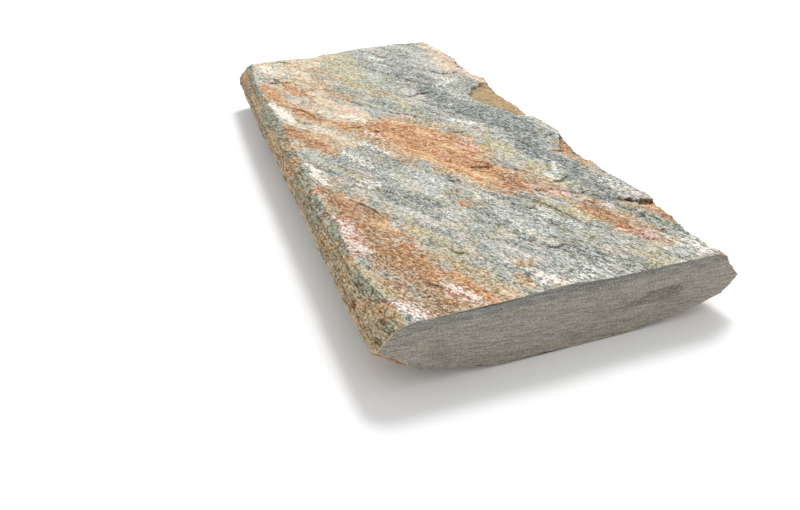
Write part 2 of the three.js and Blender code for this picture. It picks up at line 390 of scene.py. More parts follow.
def brokenRelief(flank, y, z):  # how far the fracture stands out from the beds
    seed = flank["seed"]
    bend = noise(y / 26, z / 9, seed + 7)
    relief = fractureLift
    for number, (length, height, depth, bent) in enumerate(fracture):
        relief = relief - depth * np.abs(noise(y / length, z / height + bent * bend, seed + 8 + number))
    rough = smoothstep(slab["thickness"] - z, 0.5 * flank["smoothBand"], flank["smoothBand"] + 1.5)
    return (bevelRoughness + (1 - bevelRoughness) * rough) * relief


def flankSurface(flank, y, rimZ):
    rim = flank["side"] * rimLine(flank, y)
    line = [(rim, rimZ)] + flankLine(flank, y)
    rows = []
    for k, ((x0, z0), (x1, z1)) in enumerate(zip(line, line[1:])):
        steps = slab["stepsPerBed"] if k % 2 == 0 else 1
        for n in range(1, steps + 1):
            rows.append((x0 + (x1 - x0) * n / steps, z0 + (z1 - z0) * n / steps))
    x = np.array([row[0] for row in rows]).T
    z = np.array([row[1] for row in rows]).T
    across = np.arange(1, x.shape[1] + 1) / x.shape[1]
    hold = smoothstep(across, 0.0, 0.06) * (1 - smoothstep(across, 0.97, 1.0))
    calm = 0.35 + 0.65 * pastFront(y, 5)[:, None]
    x = x + brokenRelief(flank, y[:, None] + 0 * z, z) * hold * calm
    return flank["side"] * x, z


def bedSurface(y, right, left):  # from the right bed rim to the left one, between them
    share = (np.arange(1, slab["bedColumns"]) / slab["bedColumns"])[None, :]
    x = right[0][:, None] + (left[0] - right[0])[:, None] * share
    yy = y[:, None] + 0 * x
    onRight = x > 0
    edge = np.where(onRight, along(bedRightEdge, y)[:, None], along(bedLeftEdge, y)[:, None])
    rimX = np.where(onRight, right[0][:, None], left[0][:, None])
    rimZ = np.where(onRight, right[1][:, None], left[1][:, None])
    rise = np.clip((x - edge) / (rimX - edge), 0, 1)
    climb = rise * bedSteps + 0.35 * noise(yy / 22, x / 13, 81) * smoothstep(rise, 0, 0.2)
    climb = np.clip(climb, 0, bedSteps)
    step = np.floor(np.minimum(climb, bedSteps - 0.001))
    riser = smoothstep(climb - step, *riserBand)
    z = rimZ * (stepShare * (step + riser) / bedSteps + (1 - stepShare) * rise)
    flake = streaks(x, yy, bedFlakes["long"], bedFlakes["wide"], 82)
    flake = smoothstep(flake, -0.1, -0.04) + smoothstep(flake, 0.3, 0.36)
    furrow = 1 + streaks(x, yy, bedFlakes["furrowLong"], bedFlakes["furrowWide"], 83)
    fine = bedFlakes["height"] * flake + bedFlakes["furrow"] * furrow * (0.3 + rise)
    worn = smoothstep(share, 0, 0.04) * (1 - smoothstep(share, 0.96, 1.0))
    return x, z + fine * worn


rimWear = {"reach": 0.9, "depth": 0.35, "uneven": 0.25}


def slabRings():  # every cross-section of the slab as one closed ring of points
    rowCount = round(slab["length"] / slab["rowStep"])
    y = np.linspace(frontEnd, backEnd, rowCount + 1)
    leftX, rightX = rimLine(leftFlank, y), rimLine(rightFlank, y)
    columns = round((rightX - leftX).max() / slab["topStep"])
    share = np.linspace(0, 1, columns + 1)[None, :]
    topX = leftX[:, None] + (rightX - leftX)[:, None] * share
    topY = y[:, None] + 0 * topX
    topZ = topHeight(topX, topY)
    worn = np.exp(-np.minimum(topX - leftX[:, None], rightX[:, None] - topX) / rimWear["reach"])
    topZ = topZ - worn * (rimWear["depth"] + rimWear["uneven"] * noise(topX / 3, topY / 3, 97))
    insideRim = smoothstep(share, 0, 0.02) * (1 - smoothstep(share, 0.985, 1.0))
    slidX, slidY = pullUnderSkin(topX, topY)
    topX = topX + (slidX - topX) * insideRim
    topY = topY + (slidY - topY) * insideRim
    rightPart = flankSurface(rightFlank, y, topZ[:, -1])
    leftPart = flankSurface(leftFlank, y, topZ[:, 0])
    bedRims = [(part[0][:, -1], part[1][:, -1]) for part in (rightPart, leftPart)]
    bedPart = bedSurface(y, *bedRims)
    x = np.concatenate([topX, rightPart[0], bedPart[0], leftPart[0][:, ::-1]], axis=1)
    z = np.concatenate([topZ, rightPart[1], bedPart[1], leftPart[1][:, ::-1]], axis=1)
    yy = y[:, None] + 0 * x
    yy[:, : topY.shape[1]] = topY
    return np.stack([x, yy, z], axis=2)


arrisWear = {"width": 0.22, "uneven": 0.3, "chips": 0.7}


def wearArris(rings, row, facing):  # breaks the sharp edge between a sawn end and the rest
    ring = rings[row]
    ahead, behind = np.roll(ring, -1, axis=0), np.roll(ring, 1, axis=0)
    tangent = (ahead - behind)[:, [0, 2]]
    tangent /= np.maximum(np.linalg.norm(tangent, axis=1), 1e-6)[:, None]
    outward = np.stack([-tangent[:, 1], tangent[:, 0]], axis=1)
    girth = np.cumsum(np.linalg.norm(ahead - ring, axis=1))
    width = arrisWear["width"] + arrisWear["uneven"] * np.abs(noise(girth / 3, 0 * girth, 31 + row % 7))
    width = width + arrisWear["chips"] * smoothstep(noise(girth / 5, 0 * girth, 33), 0.62, 0.9)
    end = ring.copy()
    end[:, 0] -= outward[:, 0] * width
    end[:, 2] -= outward[:, 1] * width
    rings[row, :, 1] = ring[:, 1] - facing * width
    return end


def buildSlab():
    rings = slabRings()
    rowCount, ringCount = rings.shape[:2]
    front = wearArris(rings, 0, -1)
    back = wearArris(rings, rowCount - 1, 1)
    points = np.concatenate([front, rings.reshape(-1, 3), back])
    lowest, highest = [np.array(corner) / metre for corner in cadBox]
    points = np.clip(points, lowest + boxMargin, highest - boxMargin)
    points[:, 2] = np.maximum(points[:, 2], 0.0)
    a = np.arange(rowCount + 1)[:, None] * ringCount + np.arange(ringCount)[None, :]
    b = np.arange(rowCount + 1)[:, None] * ringCount + (np.arange(ringCount)[None, :] + 1) % ringCount
    quads = np.stack([a, b, b + ringCount, a + ringCount], axis=2).reshape(-1, 4)
    mesh = bpy.data.meshes.new("fineSlab")
    bm = bmesh.new()
    verts = [bm.verts.new(p) for p in points * metre]
    for quad in quads.tolist():
        bm.faces.new([verts[n] for n in quad])
    ends = [bm.faces.new(verts[:ringCount][::-1]), bm.faces.new(verts[-ringCount:])]
    bmesh.ops.triangulate(bm, faces=ends)
    bmesh.ops.recalc_face_normals(bm, faces=bm.faces)
    bm.to_mesh(mesh)
    bm.free()
    return mesh


def thinMesh(mesh):  # fewer triangles where the stone is plain
    fine = bpy.data.objects.new("fineSlab", mesh)
    bpy.context.scene.collection.objects.link(fine)
    thin = fine.modifiers.new("thin", "DECIMATE")
    triangles = sum(len(polygon.vertices) - 2 for polygon in mesh.polygons)
    thin.ratio = min(1.0, slab["faces"] / triangles)
    evaluated = fine.evaluated_get(bpy.context.evaluated_depsgraph_get())
    result = bpy.data.meshes.new_from_object(evaluated)
    bpy.data.objects.remove(fine)
    bpy.data.meshes.remove(mesh)
    print("slab thinned from", triangles, "to", len(result.polygons), "triangles")
    return result


# Stains of each tint on the riven top. Each is its strength, how soft its edge is, and the points
# (x, y, half width) of its stroke.
stains = {
    "ochre": [
        (1.0, 6, (-44, 36, 6), (-30, 24, 13), (-16, 12, 19), (-9, 0, 21), (-4, -12, 23), (2, -24, 24),
         (6, -38, 22), (8, -52, 18), (10, -66, 12), (15, -78, 11), (21, -90, 12), (27, -102, 10),
         (33, -113, 4)),
        (0.9, 3, (-62, 66, 2), (-55, 52, 4), (-47, 38, 6)),
        (0.9, 4, (-8, 34, 2), (-4, 24, 4), (2, 12, 5)),
        (0.95, 3.5, (-89, 166, 2), (-86, 148, 4), (-85, 130, 5), (-82, 116, 4), (-79, 102, 2)),
        (0.9, 4, (-71, 160, 3), (-68, 146, 5), (-63, 128, 3)),
        (0.85, 4.5, (-75, 100, 3), (-70, 84, 6), (-65, 71, 6), (-60, 60, 3)),
        (0.95, 4, (-94, 62, 3), (-88, 48, 5), (-82, 32, 6), (-76, 16, 7), (-71, 4, 5), (-66, -8, 1)),
        (0.68, 9, (-93, -58, 4), (-90, -72, 8), (-86, -88, 12), (-81, -104, 15), (-77, -122, 16),
         (-74, -140, 15), (-70, -158, 13), (-68, -176, 11)),
        (0.9, 6, (-90, -72, 3), (-82, -90, 8), (-79, -112, 8), (-77, -134, 6)),
        (0.85, 6, (-74, -158, 4), (-68, -178, 7), (-62, -196, 5)),
        (0.8, 5, (-50, -194, 3), (-48, -210, 5), (-42, -226, 5)),
        (0.5, 10, (-70, -160, 12), (-66, -182, 13), (-62, -204, 11), (-54, -226, 11)),
        (1.0, 5, (16, -80, 6), (24, -94, 8), (31, -108, 5)),
        (0.5, 5, (-12, -108, 3), (-15, -122, 3)),
        (0.7, 4, (86, -66, 5), (90, -82, 6), (91, -100, 4)),
        (0.9, 6, (55, -154, 4), (60, -168, 6), (64, -186, 5)),
        (0.7, 5, (84, -163, 2), (90, -171, 4), (92, -182, 5)),
    ],
    "umber": [
        (0.85, 12, (-92, -60, 4), (-84, -90, 12), (-78, -122, 14), (-76, -160, 14), (-72, -196, 12),
         (-66, -226, 8)),
        (0.8, 8, (20, -84, 5), (26, -98, 8), (33, -112, 5)),
        (0.7, 6, (-88, 46, 4), (-82, 30, 6), (-74, 8, 6)),
        (0.7, 10, (54, -146, 6), (62, -162, 8), (68, -182, 6)),
    ],
    "khaki": [
        (0.9, 14, (-12, 238, 14), (-13, 200, 17), (-12, 160, 16), (-8, 120, 13), (4, 94, 8), (14, 60, 6)),
        (0.9, 7, (-95, -158, 5), (-94, -180, 7), (-91, -204, 8)),
        (0.8, 10, (-58, -96, 4), (-53, -124, 7), (-50, -150, 9), (-45, -178, 10), (-40, -204, 10),
         (-34, -228, 10)),
        (0.85, 9, (34, -18, 6), (42, -36, 8), (46, -54, 8), (46, -72, 6), (51, -92, 8), (54, -110, 8)),
        (0.85, 6, (32, -136, 5), (42, -153, 7), (50, -168, 7)),
        (0.6, 8, (8, 34, 8), (18, 14, 8), (26, -2, 6)),
        (0.6, 8, (-74, -30, 5), (-69, -48, 5), (-66, -64, 5)),
        (0.35, 14, (-22, -84, 12), (-16, -120, 14), (-12, -160, 16)),
        (0.6, 12, (-70, 176, 8), (-60, 140, 12), (-50, 104, 10)),
        (0.5, 9, (46, -230, 9), (62, -214, 10), (78, -206, 6)),
    ],
    "tan": [
        (0.75, 10, (-58, 222, 9), (-46, 198, 10), (-34, 176, 10), (-26, 150, 5)),
        (0.9, 9, (-54, 176, 6), (-48, 150, 11), (-40, 124, 9), (-30, 96, 6)),
        (0.7, 6, (-60, 140, 3), (-57, 118, 3), (-52, 104, 4)),
        (0.8, 9, (44, -112, 9), (50, -126, 10), (56, -140, 6)),
        (0.85, 7, (56, -146, 6), (61, -160, 8), (66, -178, 7)),
        (0.6, 8, (-36, -230, 8), (-22, -216, 9), (-8, -202, 6)),
        (0.5, 9, (-20, 144, 8), (-10, 116, 10), (2, 92, 6)),
        (0.7, 10, (-88, -70, 8), (-78, -140, 22), (-62, -226, 26)),
        (0.7, 7, (-46, 18, 5), (-38, -6, 5), (-32, -26, 5), (-20, -52, 5)),
        (0.6, 8, (66, 128, 5), (74, 126, 7), (84, 118, 6)),
        (0.6, 7, (90, 196, 3), (89, 160, 5), (84, 142, 4)),
    ],
    "rust": [
        (0.8, 3, (41, -6, 2), (46, -18, 3)),
        (0.7, 2.5, (-62, 142, 1.2), (-58, 120, 1.5), (-55, 100, 1)),
        (0.6, 4, (16, -54, 3), (22, -68, 4)),
        (0.6, 4, (57, -150, 3), (61, -164, 3), (59, -178, 3), (64, -190, 3), (72, -206, 2)),
        (0.6, 3, (-84, -176, 2), (-81, -200, 3)),
        (0.6, 4, (88, -164, 3), (91, -184, 4)),
    ],
    "cream": [
        (0.6, 14, (-62, 236, 30), (-61, 190, 26), (-61, 150, 20), (-58, 110, 20), (-54, 80, 17),
         (-50, 56, 10)),
        (0.95, 8, (-80, 236, 10), (-79, 206, 8), (-74, 184, 6)),
        (0.8, 12, (-34, 236, 26), (-30, 204, 12)),
        (0.5, 6, (-38, 152, 4), (-32, 144, 8), (-24, 138, 4)),
        (0.8, 5, (-90, 112, 3), (-86, 92, 6), (-83, 72, 5), (-79, 54, 4)),
        (0.7, 5, (-38, 24, 4), (-30, 14, 5), (-22, 4, 4)),
        (0.9, 8, (-54, 112, 6), (-46, 90, 8), (-38, 68, 12), (-28, 48, 11)),
        (0.8, 7, (-72, 46, 4), (-64, 28, 6), (-58, 12, 7), (-50, -4, 5)),
        (0.75, 8, (87, 238, 8), (86, 190, 10), (84, 164, 11), (80, 142, 10)),
        (0.85, 5, (90, 128, 4), (89, 100, 6), (88, 84, 5)),
        (0.4, 6, (66, -190, 4), (71, -198, 6), (76, -206, 5)),
        (0.6, 6, (-6, 10, 3), (0, -8, 4), (8, -22, 4)),
        (0.45, 8, (-72, -228, 8), (-30, -226, 6), (0, -228, 6)),
    ],
    "pale": [
        (0.9, 4, (-90, -18, 2), (-88, -36, 4), (-87, -54, 3)),
        (0.7, 3.5, (-92, -108, 2), (-91, -122, 3.5), (-91, -130, 2)),
        (0.75, 4, (-92, -138, 2), (-90, -150, 4), (-84, -157, 4)),
        (0.95, 5, (-90, 110, 3), (-86, 90, 6), (-83, 68, 5)),
        (0.7, 8, (-80, 214, 7), (-76, 188, 5)),
        (0.75, 5, (-61, -12, 2), (-56, -30, 4), (-50, -46, 3)),
        (0.75, 5, (-64, -66, 4), (-56, -75, 5)),
        (0.7, 6, (-46, 70, 3), (-36, 56, 4), (-30, 42, 3)),
        (0.7, 5, (-44, 0, 3), (-38, -16, 3), (-30, -34, 3)),
        (0.6, 4, (-37, 20, 2), (-31, 9, 3), (-25, -2, 2)),
        (0.75, 5, (36, 14, 4), (45, 2, 4)),
        (0.75, 5, (66, -82, 3), (60, -98, 4), (54, -104, 4)),
        (0.55, 5, (82, -118, 3), (88, -136, 4), (90, -146, 3)),
        (0.7, 6, (20, 196, 4), (27, 184, 5)),
        (0.6, 6, (48, 96, 5), (64, 101, 6), (78, 108, 4)),
        (0.75, 5, (-84, -214, 4), (-80, -226, 4)),
        (0.75, 4, (-55, -208, 3), (-49, -222, 3)),
        (0.7, 7, (-14, -214, 4), (-4, -226, 5)),
        (0.6, 6, (10, -226, 4), (22, -216, 5), (34, -212, 3)),
        (0.75, 5, (76, -206, 3), (84, -214, 5), (90, -226, 5)),
        (0.4, 5, (6, -160, 4), (14, -174, 4), (18, -190, 3)),
        (0.45, 6, (24, -146, 5), (30, -160, 6), (36, -172, 4)),
        (0.5, 5, (-2, -112, 4), (8, -128, 4)),
    ],
    "pink": [
        (0.5, 5, (80, -204, 4), (86, -216, 5)),
        (0.8, 4, (-91, -108, 4), (-89, -154, 6)),
        (0.5, 4, (18, -26, 4), (25, -35, 5), (22, -46, 3)),
        (0.7, 4, (6, -6, 3), (12, -14, 4)),
        (0.7, 5, (-86, -212, 6), (-78, -226, 5)),
        (0.7, 4, (-56, -210, 4), (-50, -224, 4)),
        (0.65, 5, (-12, -214, 4), (-5, -226, 4)),
        (0.6, 7, (34, -114, 6), (44, -122, 7), (56, -130, 4)),
        (0.6, 6, (62, -190, 5), (70, -194, 7), (72, -204, 5)),
        (0.6, 7, (88, 184, 5), (90, 150, 5), (90, 96, 4)),
        (0.6, 5, (-46, 104, 3), (-40, 86, 4), (-32, 62, 4)),
        (0.55, 5, (-82, 226, 5), (-66, 228, 4)),
        (0.55, 4, (-88, -20, 3), (-86, -50, 3)),
    ],
    "dusk": [
        (0.48, 14, (10, 238, 8), (30, 196, 12), (38, 164, 18), (38, 132, 18), (36, 104, 14), (44, 76, 16)),
        (0.78, 12, (40, 92, 10), (44, 70, 14), (46, 44, 15), (58, 20, 15), (68, -6, 16), (74, -30, 15)),
        (0.9, 8, (64, -46, 8), (62, -62, 10), (66, -76, 9), (74, -94, 8)),
        (0.8, 8, (72, -96, 9), (74, -120, 9), (72, -142, 7)),
        (0.5, 9, (0, -190, 6), (8, -204, 9), (16, -218, 8)),
        (0.5, 8, (-8, -84, 6), (8, -88, 4)),
        (0.5, 8, (52, -186, 5), (56, -196, 5), (84, -196, 4)),
        (0.4, 12, (24, -160, 10), (34, -178, 8)),
        (0.3, 14, (-6, -122, 10), (4, -156, 14), (24, -206, 18)),
        (0.45, 8, (58, -144, 5), (66, -160, 6), (68, -176, 5)),
    ],
}


haloWidth = 8.0  # how far the tan halo reaches round an ochre stain
stainEdge = (8, 4.5)  # depths under the top between which the stains fade in
bedEdge = (16, 12)  # heights between which the bed's patches do

# Weathered patches of the bed: tint, amount, which of two patterns, and its values where they fade in.
bedPatches = [
    ("ochre", 0.85, 0, 0.35, 0.85),
    ("tan", 0.75, 0, 0.0, 0.5),
    ("khaki", 0.6, 0, -0.3, -0.9),
    ("cream", 0.6, 1, 0.3, 0.9),
    ("dusk", 0.5, 1, -0.2, -0.9),
]


def readValues(items, name):  # a mesh's points, face middles or normals as three arrays
    values = np.empty(len(items) * 3)
    items.foreach_get(name, values)
    return values.reshape(-1, 3).T


def writeAttribute(mesh, name, domain, values):
    attribute = mesh.attributes.new(name, "FLOAT", domain)
    attribute.data.foreach_set("value", values.astype(np.float32))


def strokeMask(stain, x, y, grown):
    strength, soft, *stroke = stain
    soft = soft + grown
    mask = np.zeros(x.shape)
    for (ax, ay, aw), (bx, by, bw) in zip(stroke, stroke[1:]):
        distance, t = segmentDistance(x, y, (ax, ay), (bx, by))
        edge = distance - (aw + (bw - aw) * t) - grown
        mask = np.maximum(mask, 1 - smoothstep(edge, -soft, soft))
    return mask * strength


def writeMasks(mesh):  # one float attribute for each tint, read by the materials
    x, y, z = readValues(mesh.vertices, "co") / metre
    masks = {tint: np.zeros(x.shape) for tint in sorted(stains)}

    def lay(name, values):
        masks[name] = np.maximum(masks[name], values)

    # the strokes are drawn out along the lineation, so their edges end in streaks
    pull = 6 * streaks(x, y, 26, 5.2, 51) + 3 * streaks(x, y, 12, 2.6, 52)
    px, py = x + pull * lineX, y + pull * lineY
    for tint, strokes in stains.items():
        for stain in strokes:
            lay(tint, strokeMask(stain, px, py, 0))
            if tint == "ochre":
                lay("tan", strokeMask(stain, px, py, haloWidth))
    onTop = smoothstep(z, *(slab["thickness"] - depth for depth in stainEdge))
    for tint in masks:
        masks[tint] = masks[tint] * onTop
    patterns = [
        streaks(x, y, 130, 24, 57) + 0.5 * streaks(x, y, 34, 6, 59),
        streaks(x, y, 90, 18, 58) + 0.5 * streaks(x, y, 24, 5, 60),
    ]
    for tint, amount, pattern, low, high in bedPatches:
        lay(tint, amount * smoothstep(z, *bedEdge) * smoothstep(patterns[pattern], low, high))
    fields = {name: scarField(name, x, y) for name in scars}
    masks["ledge"] = smoothstep(fields["longLedge"], 0.2, 1.2) * onTop
    # the right edge of the notch and of the stone under the hanging flake is rusty
    bare = np.maximum(smoothstep(fields["notch"], 0.0, 0.8), smoothstep(fields["hangingFlake"], 0.0, 0.8))
    lay("ochre", bare * smoothstep(x, 78, 86))
    # and so is the lower left edge of the front end
    under = (z < 24) & (x < -26)
    lay("rust", under * (1 - smoothstep(y, frontEnd + 0.6, frontEnd + 9)))
    # painted highlight along the outermost edge of the left flank
    outermost = -along([(at, max(row)) for at, row in leftFlank["stations"]], y)
    masks["worn"] = smoothstep(outermost + 0.9 - x, 0.0, 0.9) * (z > 22)
    # painted shadow: a dark line under each lip, and dark walls inside the undercut scars where shade falls
    dark = lipRelief(x, y)[1]
    for name, scar in scars.items():
        if scar["undercut"]:
            wall = smoothstep(fields[name], -0.2, 0.3) * (1 - smoothstep(fields[name], 0.9, 2.4))
            dark = np.maximum(dark, wall * min(1, scar["undercut"] / 1.6))
    masks["paintedShadow"] = dark * onTop
    for name, values in masks.items():
        writeAttribute(mesh, name, "POINT", values)


sawnFacing = 0.97  # a sawn face looks this squarely along the slab
sawnDepth = 0.2  # and lies within this of an end
flankFoot = 4  # below this height a face belongs to the bed
arrisDepth = 1.0  # a worn arris lies within this of an end
arrisFacing = 0.25  # and is turned at least this far towards it
rimMargin = 0.1  # faces this far inside a rim still belong to the flank


def sortFaces(mesh):  # top and bed, broken flanks, sawn ends
    facing = np.abs(readValues(mesh.polygons, "normal")[1])
    x, y, z = readValues(mesh.polygons, "center") / metre
    sawn = (facing > sawnFacing) & (np.abs(y) > backEnd - sawnDepth)
    beyond = (x < rimLine(leftFlank, y) + rimMargin) | (x > rimLine(rightFlank, y) - rimMargin)
    kinds = np.zeros(len(mesh.polygons), np.int32)
    kinds[beyond & (z > flankFoot) & ~sawn] = 1
    kinds[sawn] = 2
    mesh.polygons.foreach_set("material_index", kinds)
    mesh.polygons.foreach_set("use_smooth", ~sawn)
    arris = (np.abs(y) > backEnd - arrisDepth) & ~sawn & (facing > arrisFacing)
    writeAttribute(mesh, "arris", "FACE", arris)


# Small helpers for node trees

def feed(tree, source, socket):  # links an output to the socket, or sets a plain value on it
    if hasattr(source, "links"):
        tree.links.new(source, socket)
    else:
        socket.default_value = source


def addNode(tree, kind, inputs=None, **settings):
    node = tree.nodes.new("ShaderNode" + kind)
    for name, value in settings.items():
        setattr(node, name, value)
    for name, source in (inputs or {}).items():
        feed(tree, source, node.inputs[name])
    return node


def treeOf(sources):  # the tree of the first source that is a socket
    return next(source.id_data for source in sources if hasattr(source, "links"))


def mathNode(operation, *sources):
    inputs = dict(enumerate(sources))
    return addNode(treeOf(sources), "Math", inputs, operation=operation).outputs[0]


def vectorNode(operation, *sources):
    inputs = dict(enumerate(sources))
    return addNode(treeOf(sources), "VectorMath", inputs, operation=operation).outputs[0]


def plus(first, second):
    return mathNode("ADD", first, second)


def minus(first, second):
    return mathNode("SUBTRACT", first, second)


def times(first, second):
    return mathNode("MULTIPLY", first, second)


def timesPlus(first, second, third):
    return mathNode("MULTIPLY_ADD", first, second, third)


def scaled(tint, factor):
    inputs = {0: tint, "Scale": factor}
    return addNode(tint.id_data, "VectorMath", inputs, operation="SCALE").outputs[0]


def blend(amount, first, second, kind="MIX"):
    sources = (amount, first, second)
    inputs = dict(zip((0, 6, 7), sources))  # where the mix node keeps its factor and its two colours
    return addNode(treeOf(sources), "Mix", inputs, data_type="RGBA", blend_type=kind).outputs[2]


def remap(value, low, high, toLow=0.0, toHigh=1.0):
    inputs = dict(enumerate((value, low, high, toLow, toHigh)))
    return addNode(value.id_data, "MapRange", inputs, interpolation_type="SMOOTHSTEP").outputs[0]


def layOver(tint, look, layers, textures):  # each layer: texture, its values from none to most, most, colour
    for name, low, high, most, above in look[layers]:
        tint = blend(remap(textures[name], low, high, 0.0, most), tint, look[above])
    return tint


def maskValue(tree, name):
    return addNode(tree, "Attribute", attribute_name=name).outputs["Fac"]


def colour(red, green, blue):  # from the 0 to 255 values a colour picker shows
    parts = [c / 255 for c in (red, green, blue)]
    return [c / 12.92 if c < 0.04045 else ((c + 0.055) / 1.055) ** 2.4 for c in parts] + [1.0]


def newGroup(name, **inputs):  # a tuple stands for a colour socket, a number for a plain one
    group = bpy.data.node_groups.new(name, "ShaderNodeTree")
    for label, value in inputs.items():
        kind = "NodeSocketColor" if isinstance(value, tuple) else "NodeSocketFloat"
        group.interface.new_socket(name=label, in_out="INPUT", socket_type=kind).default_value = value
    return group, group.nodes.new("NodeGroupInput").outputs


def finishGroup(group, **results):
    for label, source in results.items():
        kind = "NodeSocketColor" if source.type == "RGBA" else "NodeSocketFloat"
        group.interface.new_socket(name=label, in_out="OUTPUT", socket_type=kind)
    output = group.nodes.new("NodeGroupOutput")
    for label, source in results.items():
        feed(group, source, output.inputs[label])
    return group


def useGroup(tree, group, **values):
    return addNode(tree, "Group", values, node_tree=group).outputs


def grainValue(tree, grain, length, width, height, detail, roughness, shift=0.0):
    return useGroup(tree, grain, Length=length, Width=width, Height=height, Detail=detail,
                    Roughness=roughness, Shift=shift)[0]


grainWave = {"scale": 55.0, "reach": 0.004}


def makeGrainGroup():  # noise drawn out along the slate's lineation, and a little wavy
    group, given = newGroup(
        "slateGrain", Length=0.006, Width=0.0015, Height=0.004, Detail=3.0, Roughness=0.6, Shift=0.0)
    place = addNode(group, "TexCoord").outputs["Object"]
    wave = addNode(group, "TexNoise", {"Vector": place, "Scale": grainWave["scale"], "Detail": 1.0})
    centred = vectorNode("SUBTRACT", wave.outputs["Color"], (0.5, 0.5, 0.5))
    wavy = vectorNode("MULTIPLY_ADD", centred, (grainWave["reach"], grainWave["reach"], 0.0), place)
    turned = addNode(
        group, "VectorRotate", {"Vector": wavy, "Angle": -lineationAngle}, rotation_type="Z_AXIS")
    size = addNode(group, "CombineXYZ", {0: given["Width"], 1: given["Length"], 2: given["Height"]})
    shrunk = vectorNode("DIVIDE", turned.outputs[0], size.outputs[0])
    texture = addNode(group, "TexNoise", {
        "Vector": vectorNode("ADD", shrunk, given["Shift"]), "Scale": 1.0,
        "Detail": given["Detail"], "Roughness": given["Roughness"]})
    return finishGroup(group, Value=texture.outputs["Fac"])


def makeFleckGroup(grain):  # mica flecks: pale and dark masks, and their relief
    group, given = newGroup("micaFlecks", Length=0.006, Width=0.0016, Height=0.004, Contrast=1.0)
    length, width, height = given["Length"], given["Width"], given["Height"]
    coarse = grainValue(group, grain, length, width, height, 4.0, 0.66)
    shorter, thinner = times(length, 0.4), times(width, 0.46)
    fine = grainValue(group, grain, shorter, thinner, height, 3.0, 0.65, 7.3)
    both = plus(times(coarse, 0.55), times(fine, 0.45))
    pushed = times(minus(both, 0.5), given["Contrast"])
    pale, dark = remap(pushed, 0.015, 0.1), remap(pushed, -0.015, -0.1)
    return finishGroup(group, Pale=pale, Dark=dark, Relief=both)


def makeFlakeEdgeGroup(grain):  # broken thin lines where one flake ends, used for a painted shadow line, with a small step across them
    group, given = newGroup(
        "flakeEdges", Length=0.02, Width=0.006, Height=0.01, Shift=0.0, Thinness=0.012, Amount=0.5)
    length, height, thinness = given["Length"], given["Height"], given["Thinness"]
    level = grainValue(group, grain, length, given["Width"], height, 3.0, 0.55, given["Shift"])
    away = minus(level, 0.5)
    line = remap(mathNode("ABSOLUTE", away), thinness, 0.0)
    rise = remap(away, times(thinness, -1.0), thinness)
    # another grain shows the lines here and hides them there
    shorter = times(length, 0.6)
    gate = grainValue(group, grain, shorter, shorter, height, 2.0, 0.5, 21.4)
    limit = minus(0.75, times(given["Amount"], 0.4))
    shown = remap(gate, limit, plus(limit, 0.08))
    return finishGroup(group, Line=times(line, shown), Step=times(rise, shown))


def makeStainGroup():  # breaks a painted mask up by the grain, so it ends in flecks
    group, given = newGroup("streakyStain", Amount=0.0, Grain=0.5, Break=2.2)
    broken = timesPlus(minus(given["Grain"], 0.5), given["Break"], given["Amount"])
    painted = remap(given["Amount"], 0.0, 0.16)
    return finishGroup(group, Mask=times(remap(broken, 0.3, 0.75), painted))


micaLight = (1.0, 0.98, 0.93, 1)  # painted highlight: what the pale flecks add to a tint, standing in for glinting mica


def makeFleckedTintGroup():  # dark flecks deepen a tint and keep its hue, pale ones add a painted mica glint over it
    group, given = newGroup(
        "fleckedTint", Tint=(0.5, 0.5, 0.5, 1), Dark=0.0, Pale=0.0, Depth=0.9, Glint=0.22)
    exponent = timesPlus(given["Dark"], given["Depth"], 1.0)
    deepened = addNode(group, "Gamma", {"Color": given["Tint"], "Gamma": exponent}).outputs[0]
    amount = times(given["Pale"], given["Glint"])
    return finishGroup(group, Colour=blend(amount, deepened, micaLight, "ADD"))


def newMaterial(name):
    material = bpy.data.materials.new(name)
    material.use_nodes = True
    material.node_tree.nodes.clear()
    return material, material.node_tree


def finishMaterial(tree, look, surface, relief, roughness):
    bump = addNode(tree, "Bump", {
        "Strength": look["bumpStrength"], "Distance": look["bumpDistance"], "Height": relief})
    shader = addNode(tree, "BsdfPrincipled", {
        "Base Color": surface, "Roughness": roughness, "Specular IOR Level": look["specular"],
        "Normal": bump.outputs[0]})
    addNode(tree, "OutputMaterial", {"Surface": shader.outputs[0]})


